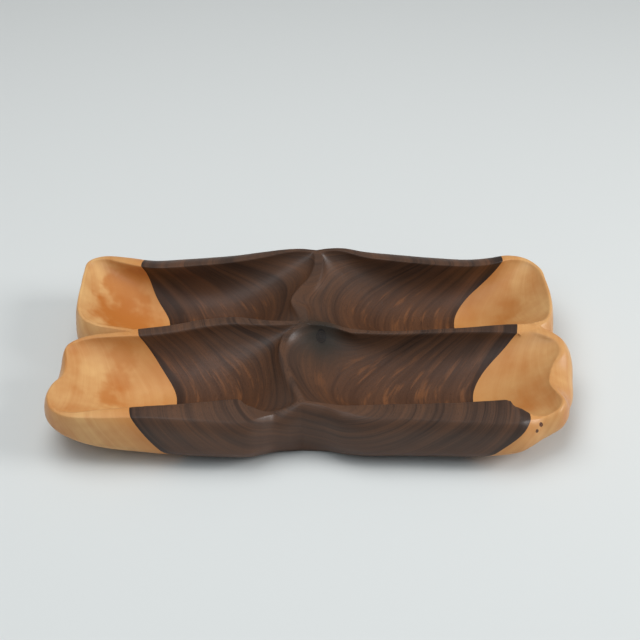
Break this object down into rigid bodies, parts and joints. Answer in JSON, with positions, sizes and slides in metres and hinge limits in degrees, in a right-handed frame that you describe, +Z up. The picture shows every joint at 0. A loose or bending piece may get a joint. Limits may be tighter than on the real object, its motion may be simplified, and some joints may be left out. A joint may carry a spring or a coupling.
{
  "type": "divided serving bowl",
  "caption": "Long shallow carved wooden serving bowl divided into hollows, with wavy rims, bowed dividers and a flat foot.",
  "frame": {"origin": "middle of the flat foot, where it rests, under the middle of the bowl's outer box", "axes": "+X along the length to the right end, +Y towards the back rim, which is the higher long side, +Z up"},
  "size_m": [0.4, 0.22, 0.052],
  "materials": {
    "heartwood": "oiled satin, dark brown with reddish streaks along the grain",
    "sapwood": "oiled satin, orange tan with darker mottles",
    "knot": "oiled satin, black brown",
    "pin_knot": "oiled satin, dark red brown"
  },
  "bodies": {
    "root": {"heartwood_body": "heartwood", "sapwood_end_left": "sapwood", "sapwood_end_right": "sapwood", "branch_knot": "knot", "pin_knots": "pin_knot"}
  },
  "joints": []
}
